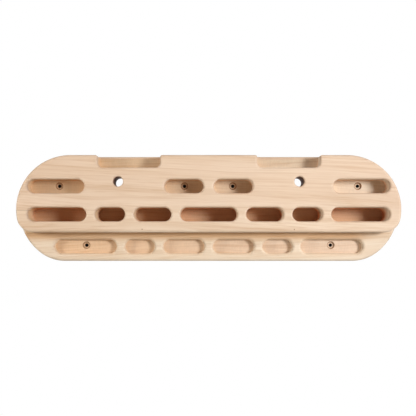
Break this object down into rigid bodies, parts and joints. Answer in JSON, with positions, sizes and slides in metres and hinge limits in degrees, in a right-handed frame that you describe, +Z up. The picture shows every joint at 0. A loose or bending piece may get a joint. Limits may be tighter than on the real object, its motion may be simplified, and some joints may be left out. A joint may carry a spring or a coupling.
{
  "type": "hangboard",
  "caption": "Wooden finger training board with round ends, open jugs on the top edge, rows of rounded finger pockets on a stepped front, and holes for wall screws and a cord.",
  "frame": {"origin": "middle of the wall face, at half the board's length and half its height", "axes": "+X along the board, to the right as seen from the front; +Y out of the wall face, into the wall; +Z up"},
  "size_m": [0.58, 0.06, 0.16],
  "materials": {
    "front_wood": "sanded smooth, bare, satin",
    "middle_wood": "sanded smooth, bare, satin",
    "rear_wood": "planed, bare, matt"
  },
  "bodies": {
    "root": {"front_upper_board": "front_wood", "front_lower_board": "front_wood", "middle_upper_board": "middle_wood", "middle_centre_board": "middle_wood", "middle_lower_board": "middle_wood", "rear_upper_board": "rear_wood", "rear_centre_board": "rear_wood", "rear_lower_board": "rear_wood"}
  },
  "joints": []
}
